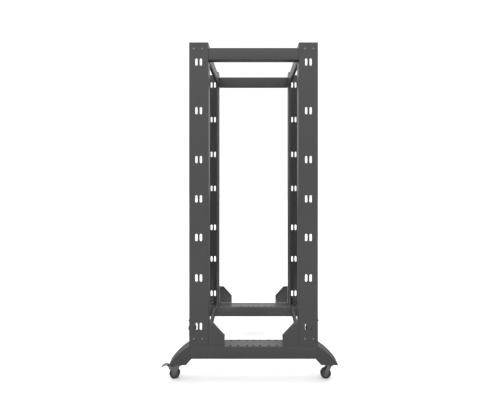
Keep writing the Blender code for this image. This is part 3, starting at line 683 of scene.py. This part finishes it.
def make_corner_plates():
    """Feet, gussets and brackets keep the frame's own shape, with their edges rounded."""
    for corner, _, _ in CORNERS:
        softened_copy(f"foot_{corner}", POWDER, "frame", 0.0009)
        softened_copy(f"gusset_{corner}", POWDER, "frame", 0.0008)
        softened_copy(f"top_bracket_{corner}", POWDER, "frame", 0.0004)
        softened_copy(f"base_bracket_{corner}", POWDER, "frame", 0.0004)


# Bolts


def button_bolt(axis, towards, length=0.012):
    """A domed head with a hexagon socket, seated at 0, its shank running towards -1 or +1 along the axis."""
    out = -towards
    profile = [
        (0, out * 0.0008),
        (0.0017, out * 0.0008, 1),
        (0.0019, out * 0.0024, 1),
        (0.0026, out * 0.0026),
        (0.0040, out * 0.0021),
        (0.0050, out * 0.0012),
        (0.0054, out * 0.0002),
        (0.0053, 0),
        (0.0030, 0),
        (0.0030, towards * (length - 0.0006)),
        (0.0025, towards * length),
        (0, towards * length),
    ]
    return turned(profile, axis, 24)


def make_bolts():
    """The frame's bolts and the casters' screws, in sets of like ones."""
    web = button_bolt("y", -1)
    places = [(x, HALF_WIDTH + GAP, z) for x, z in web_bolt_places()]
    put("post_web_bolts", in_every_corner(repeated(web, places)), BLACKED, "frame")
    corner = button_bolt("x", -1)
    flange = POST_INNER + SHEET + GAP
    seats = (flange, flange + SHEET + GAP)
    places = [(x, CORNER_BOLT_Y, z) for x, z in zip(seats, CORNER_BOLT_HEIGHTS)]
    put("top_corner_bolts", in_every_corner(repeated(corner, places)), BLACKED, "frame")
    places = [(CROSS_BOLT_X, HALF_OPENING + SHEET + GAP, z) for z in CROSS_BOLT_HEIGHTS]
    put("base_cross_bolts", in_every_corner(repeated(web, places)), BLACKED, "frame")
    screw = button_bolt("z", 1)
    half = PLATE_HOLE_PITCH / 2
    places = [(STEM[0] + i * half, STEM[1] + j * half, PLATE_LOW.z - GAP) for i in (-1, 1) for j in (-1, 1)]
    put("caster_screws", in_every_corner(repeated(screw, places)), BLACKED, "frame")


# Casters: drawn about the swivel axis, with the floor at 0

FORK_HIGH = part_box("caster_fork_rear_left")[1]
TYRE_LOW, TYRE_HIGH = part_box("tyre_rear_left")
HUB_LOW, HUB_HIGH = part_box("wheel_hub_rear_left")
CAP_RADIUS = 0.021
CAP_HEIGHT = 0.012
CAP_LOW, CAP_TOP = FORK_HIGH.z - CAP_HEIGHT, FORK_HIGH.z
STEM_BORE = 0.0056
AXLE = ((TYRE_LOW.x + TYRE_HIGH.x) / 2 - RACK_X - STEM[0], (TYRE_LOW.z + TYRE_HIGH.z) / 2)
CHEEK_IN = 0.0115  # from the middle of the wheel to a cheek
CHEEK_OUT = CHEEK_IN + CHEEK
WHEEL_RADIUS = AXLE[1]
HALF_TYRE = (TYRE_HIGH.y - TYRE_LOW.y) / 2
HALF_HUB = (HUB_HIGH.y - HUB_LOW.y) / 2
HUB_RADIUS = 0.017
AXLE_BORE = 0.0043
NUT_RADIUS, NUT_HEIGHT = 0.0075, 0.004
PEDAL_PIVOT = (-0.038, 0.052)
PEDAL_CREST = (-0.0535, 0.0712)
PEDAL_TIP = (-0.0787, 0.0570)
CHEEK_ROUND = 0.008
CHEEK_FRONT, CHEEK_BACK = 0.008, 0.011
CHEEK_WAIST = ((-0.0035, 0.036), (-0.0235, 0.036))
ARM_ROOT, ARM_ROUND = (-0.0275, 0.041), 0.0045


def cheek_edge(braked):
    """The cheek from the side: from its front top corner, down round the axle and up to its back one."""
    turn = np.radians(np.linspace(65, -70, 10))
    under = np.array(AXLE) + CHEEK_ROUND * np.column_stack((np.sin(turn), -np.cos(turn)))
    start = [(CHEEK_FRONT, CAP_LOW - CHEEK), (CHEEK_FRONT - 0.0005, CAP_LOW - 0.008), CHEEK_WAIST[0]]
    if not braked:
        return np.vstack((start, under, [CHEEK_WAIST[1], (-CHEEK_BACK, CAP_LOW - CHEEK)]))
    arm = np.radians(np.linspace(250, 95, 7))
    round_end = np.array(PEDAL_PIVOT) + ARM_ROUND * np.column_stack((np.cos(arm), np.sin(arm)))
    return np.vstack((start, under, [ARM_ROOT], round_end, [(-CHEEK_BACK, CAP_LOW - CHEEK)]))


def fork_shape(braked):
    """One plate bent down on both sides of the wheel, as two cheeks and a bridge, and a turned cap on top."""
    edge = cheek_edge(braked)
    corners = [(CHEEK_OUT, 0), (CHEEK_OUT, CAP_LOW), (-CHEEK_OUT, CAP_LOW), (-CHEEK_OUT, 0)]
    fold = fold_line(corners, CHEEK + 0.0005)
    up = np.column_stack((along_fold(fold, 0, edge[:, 1]), edge[:, 0]))
    down = np.column_stack((along_fold(fold, 2, CAP_LOW - edge[:, 1]), edge[:, 0]))
    outline = np.vstack((up, down[::-1]))
    holes = []
    for segment, fall in ((0, AXLE[1]), (2, CAP_LOW - AXLE[1])):
        holes.append(round_hole((along_fold(fold, segment, fall), AXLE[0]), AXLE_BORE))
    holes.append(round_hole((along_fold(fold, 1, CHEEK_OUT), 0), STEM_BORE, 24))
    plate = folded(fold, "x", outline, holes, CHEEK)
    r = CAP_RADIUS
    cap = turned(
        [
            (STEM_BORE, CAP_LOW + 0.0001),
            (r - 0.0012, CAP_LOW + 0.0001),
            (r - 0.0003, CAP_LOW + 0.0006),
            (r, CAP_LOW + 0.0015),
            (r, CAP_LOW + 0.0045),
            (r - 0.0004, CAP_LOW + 0.0055),
            (r - 0.0014, CAP_LOW + 0.0062),
            (r - 0.0040, CAP_LOW + 0.0066),
            (r - 0.0046, CAP_LOW + 0.0074),
            (r - 0.0040, CAP_LOW + 0.0084),
            (r - 0.0036, CAP_TOP - 0.0012),
            (r - 0.0042, CAP_TOP - 0.0003),
            (r - 0.0052, CAP_TOP),
            (STEM_BORE, CAP_TOP),
        ],
        "z",
        48,
        closed=True,
    )
    shapes = [plate, cap]
    if braked:
        reach = CHEEK_OUT + 0.0012
        pin = [(0, -reach), (0.0036, -reach), (0.0042, -reach + 0.0008)]
        pin += [(0.0042, -CHEEK_OUT), (0.0025, -CHEEK_OUT)]
        pin += [(radius, -along) for radius, along in reversed(pin)]
        shapes.append(turned(pin, "y", 20, PEDAL_PIVOT))
    return joined(*shapes)


def wheel_shapes():
    """A dished hub with a raised rim and boss, and a tyre with round shoulders and a crowned tread."""
    x, z = AXLE
    half = HALF_TYRE - 0.0012
    hub = [
        (0.0044, -HALF_HUB),
        (0.0068, -HALF_HUB),
        (0.0074, -HALF_HUB + 0.0007),
        (0.0078, -half + 0.0034),
        (0.0086, -half + 0.0040),
        (0.0126, -half + 0.0040),
        (0.0134, -half + 0.0034),
        (0.0140, -half + 0.0005),
        (0.0145, -half),
        (HUB_RADIUS - 0.0005, -half),
        (HUB_RADIUS, -half + 0.0005),
    ]
    hub += [(radius, -along) for radius, along in reversed(hub)]
    angle = np.radians(np.linspace(0, 90, 7))
    shoulder = 0.0034
    low = WHEEL_RADIUS - 0.0004 - shoulder
    arc = [(low + shoulder * math.sin(a), shoulder * (1 - math.cos(a)) - HALF_TYRE) for a in angle]
    tread = [(WHEEL_RADIUS - 0.0001, -0.0040), (WHEEL_RADIUS, 0.0), (WHEEL_RADIUS - 0.0001, 0.0040)]
    inner = HUB_RADIUS + GAP
    bead = [(inner, 0.0006 - HALF_TYRE), (inner + 0.0006, -HALF_TYRE)]
    other = [(radius, -along) for radius, along in reversed(bead + arc)]
    tyre = bead + arc + tread + other
    return turned(hub, "y", 64, (x, z), closed=True), turned(tyre, "y", 80, (x, z), closed=True)


def hexagon_bolt():
    """The axle bolt: chamfered hexagon head on one cheek, plain shank to the other, and a lock nut there."""
    face = CHEEK_OUT + GAP
    top = face + NUT_HEIGHT
    head = [
        (0, -top),
        (0.0056, -top),
        (0.0065, -top + 0.0002),
        (NUT_RADIUS, -top + 0.0009, 1),
        (NUT_RADIUS, -face, 1),
        (0.0040, -face),
        (0.0040, top + 0.0012),
        (0.0034, top + 0.0020),
        (0, top + 0.0020),
    ]
    nut = [
        (AXLE_BORE, face),
        (NUT_RADIUS, face, 1),
        (NUT_RADIUS, top - 0.0009, 1),
        (0.0065, top - 0.0002),
        (0.0056, top),
        (AXLE_BORE, top),
    ]
    return turned(head, "y", 36, AXLE), turned(nut, "y", 36, AXLE, closed=True)


def kingpin_shape():
    """A rivet with a domed head under the fork's bridge, flush with the top plate above."""
    seat = CAP_LOW - CHEEK - GAP
    profile = [
        (0, seat - 0.0042),
        (0.0030, seat - 0.0040),
        (0.0058, seat - 0.0031),
        (0.0080, seat - 0.0015),
        (0.0088, seat - 0.0004),
        (0.0086, seat),
        (0.0050, seat),
        (0.0050, PLATE_HIGH.z - GAP),
        (0, PLATE_HIGH.z - GAP),
    ]
    return turned(profile, "z", 40)


def plate_shape():
    half = (PLATE_HIGH.x - PLATE_LOW.x) / 2
    pitch = PLATE_HOLE_PITCH / 2
    holes = [round_hole((i * pitch, j * pitch), BOLT_HOLE) for i in (-1, 1) for j in (-1, 1)]
    holes.append(round_hole((0, 0), 0.0053, 24))
    return slab(rectangle((-half, half), (-half, half), 0.006, 6), "z", PLATE_LOW.z, PLATE_HIGH.z, holes)


def pedal_shape():
    """A strip bent over its crest, with grip ribs near the tip, on a tube that turns on the fork's pin."""
    x, z = PEDAL_PIVOT
    half = CHEEK_IN - 2 * GAP
    fold = fold_line([(x - 0.0022, z + 0.0030), PEDAL_CREST, PEDAL_TIP], 0.016, 10)
    last = fold["s"][-1]
    outline = rounded([(0, -half), (last, -half), (last, half), (0, half)], (0, 0.005, 0.005, 0), 6)
    strip = folded(fold, "y", outline, thickness=PEDAL_THICK)
    tube = [(0.0029, -half), (0.0040, -half), (0.0045, 0.0005 - half)]
    tube += [(radius, -along) for radius, along in reversed(tube)]
    ribs = []
    for share in (0.74, 0.82, 0.90):
        s = share * last
        spot = [np.interp(s, fold["s"], fold["points"][:, i]) for i in range(2)]
        rib = [(0, 0.004 - half), (0.0006, 0.004 - half), (0.0009, 0.0045 - half)]
        rib += [(radius, -along) for radius, along in reversed(rib)]
        ribs.append(turned(rib, "y", 12, spot))
    return joined(strip, turned(tube, "y", 28, PEDAL_PIVOT, closed=True), *ribs)


def make_casters():
    hub, tyre = wheel_shapes()
    bolt, nut = hexagon_bolt()
    for name, sx, sy in CORNERS:
        stem = (RACK_X + sx * STEM[0], sy * STEM[1], 0)
        swivel, wheel = f"swivel_{name}", f"wheel_{name}"
        pieces = (
            ("caster_plate", plate_shape(), BLACKED, "caster_metal", "frame", 0.0003),
            ("kingpin", kingpin_shape(), BLACKED, "caster_metal", "frame", 0),
            ("caster_fork", fork_shape(name in BRAKED), PLATED, "caster_metal", swivel, 0.0003),
            ("axle_bolt", bolt, BLACKED, "caster_metal", swivel, 0),
            ("axle_nut", nut, BLACKED, "caster_metal", swivel, 0),
            ("wheel_hub", hub, HUB_PLASTIC, "wheel_hub", wheel, 0),
            ("tyre", tyre, RUBBER, "tyre", wheel, 0),
        )
        if name in BRAKED:
            pedal = ("brake_pedal", pedal_shape(), BLACKED, "caster_metal", f"pedal_{name}", 0.0004)
            pieces += (pedal,)
        for kind, shape, material, slot, body, bevel in pieces:
            node = f"{kind}_{name}"
            put(f"{node}_finished", moved(shape, stem), material, body, [node], bevel)


# Studio


def eased(tree, value, start, end, low, high):
    """A number that goes smoothly from low to high while value goes from start to end."""
    node = tree.nodes.new("ShaderNodeMapRange")
    node.interpolation_type = "SMOOTHSTEP"
    for name, number in (("From Min", start), ("From Max", end), ("To Min", low), ("To Max", high)):
        node.inputs[name].default_value = number
    tree.links.new(value, node.inputs["Value"])
    return node.outputs["Result"]


FLOOR_SEEN = (1.0, 1.0, 1.0)
FLOOR_SIZE = 12.0
FLOOR_BOUNCE = (0.66, 0.18)  # light thrown back in front of the rack, and behind it
BOUNCE_FADE = (-1.2, 0.3)  # between these places along Y
WALL_LIGHT, CEILING_LIGHT, FRONT_LIGHT, SIDE_LIGHT, BACK_LIGHT = 0.18, 1.40, 0.50, 0.60, 0.75
# How far up, to the front, to the back and to the side each light fades in, 1 being straight that way
CEILING_FADE, FRONT_FADE = (-0.10, 0.55), (-0.35, -0.97)
BACK_FADE, SIDE_FADE = (0.96, 0.999), (0.55, 0.98)
BACKDROP = 1.1
OVERHEAD = 30.0
THROUGH, THROUGH_SPREAD = 0.22, 10  # power, and degrees
THROUGH_SIZE, THROUGH_FROM, THROUGH_TO = (0.10, 0.10), (0.5, -2.0, 1.35), (0.17, 0.27, 0.17)
LENS, SHIFT = 27.33, (-0.0071, -0.0754)
EYE_DISTANCE, EYE_HEIGHT = 1.78, 0.984


def make_floor():
    """A wide pale floor. To the eye it is white, and it throws back only a little light from below."""
    points = FLOOR_SIZE * np.array([(-1, -1, 0), (1, -1, 0), (1, 1, 0), (-1, 1, 0)])
    mesh = bpy.data.meshes.new("floor")
    mesh.from_pydata(points.tolist(), [], [(0, 1, 2, 3)])
    material = bpy.data.materials.new("pale_floor")
    material.use_nodes = True
    tree = material.node_tree
    tree.nodes.remove(tree.nodes["Principled BSDF"])
    seen, unseen = (tree.nodes.new("ShaderNodeBsdfDiffuse") for _ in range(2))
    seen.inputs["Color"].default_value = (*FLOOR_SEEN, 1)
    split = tree.nodes.new("ShaderNodeSeparateXYZ")
    tree.links.new(tree.nodes.new("ShaderNodeTexCoord").outputs["Object"], split.inputs[0])
    tree.links.new(eased(tree, split.outputs["Y"], *BOUNCE_FADE, *FLOOR_BOUNCE), unseen.inputs["Color"])
    either = tree.nodes.new("ShaderNodeMixShader")
    tree.links.new(tree.nodes.new("ShaderNodeLightPath").outputs["Is Camera Ray"], either.inputs["Fac"])
    tree.links.new(unseen.outputs["BSDF"], either.inputs[1])
    tree.links.new(seen.outputs["BSDF"], either.inputs[2])
    tree.links.new(either.outputs["Shader"], tree.nodes["Material Output"].inputs["Surface"])
    mesh.materials.append(material)
    floor = bpy.data.objects.new("floor", mesh)
    bpy.context.collection.objects.link(floor)


def add_softbox(name, place, target, size, power, spread=180):
    light = bpy.data.lights.new(name, "AREA")
    light.spread = math.radians(spread)
    light.shape = "RECTANGLE"
    light.size, light.size_y = size
    light.energy = power
    box = bpy.data.objects.new(name, light)
    box.location = place
    box.rotation_euler = (Vector(target) - Vector(place)).to_track_quat("-Z", "Y").to_euler()
    bpy.context.collection.objects.link(box)


def make_light():
    """A white room with a bright ceiling, a softbox above, and two small ones crossing through the frame."""
    world = bpy.data.worlds.new("studio")
    world.use_nodes = True
    tree = world.node_tree
    split = tree.nodes.new("ShaderNodeSeparateXYZ")
    tree.links.new(tree.nodes.new("ShaderNodeTexCoord").outputs["Generated"], split.inputs[0])
    ceiling = eased(tree, split.outputs["Z"], *CEILING_FADE, WALL_LIGHT, CEILING_LIGHT)
    front = eased(tree, split.outputs["Y"], *FRONT_FADE, 0.0, FRONT_LIGHT)
    back = eased(tree, split.outputs["Y"], *BACK_FADE, 0.0, BACK_LIGHT)
    sideways = add_math(tree, "ABSOLUTE", split.outputs["X"], 0.0)
    sides = eased(tree, sideways, *SIDE_FADE, 0.0, SIDE_LIGHT)
    walls = add_math(tree, "ADD", sides, add_math(tree, "ADD", front, back))
    light = add_math(tree, "ADD", ceiling, walls)
    seen = tree.nodes.new("ShaderNodeMix")
    tree.links.new(tree.nodes.new("ShaderNodeLightPath").outputs["Is Camera Ray"], seen.inputs["Factor"])
    tree.links.new(light, seen.inputs["A"])
    seen.inputs["B"].default_value = BACKDROP
    tree.links.new(seen.outputs["Result"], tree.nodes["Background"].inputs["Strength"])
    tree.nodes["Background"].inputs["Color"].default_value = (1, 1, 1, 1)
    bpy.context.scene.world = world
    add_softbox("overhead", (RACK_X, 0.6, 3.4), (RACK_X, 0, 0.6), (3.0, 2.0), OVERHEAD)
    for name, sx in (("through_the_frame_right", 1), ("through_the_frame_left", -1)):
        place = (RACK_X - sx * THROUGH_FROM[0], *THROUGH_FROM[1:])
        target = (RACK_X + sx * THROUGH_TO[0], *THROUGH_TO[1:])
        add_softbox(name, place, target, THROUGH_SIZE, THROUGH, THROUGH_SPREAD)


def make_camera():
    """A level camera square to the right-hand side, with colours shown as they are."""
    bpy.context.scene.view_settings.view_transform = "Standard"
    camera = bpy.data.cameras.new("camera")
    camera.sensor_width = 36.0
    camera.lens = LENS
    camera.shift_x, camera.shift_y = SHIFT
    camera.clip_end = 100
    eye = bpy.data.objects.new("camera", camera)
    eye.location = (RACK_X, -HALF_WIDTH - EYE_DISTANCE, EYE_HEIGHT)
    eye.rotation_euler = (math.radians(90), 0, 0)
    bpy.context.collection.objects.link(eye)
    bpy.context.scene.camera = eye


make_posts()
make_base_beams()
make_top_beams()
make_top_cross_members()
make_base_cross_members()
make_corner_plates()
make_bolts()
make_casters()
make_floor()
make_light()
make_camera()
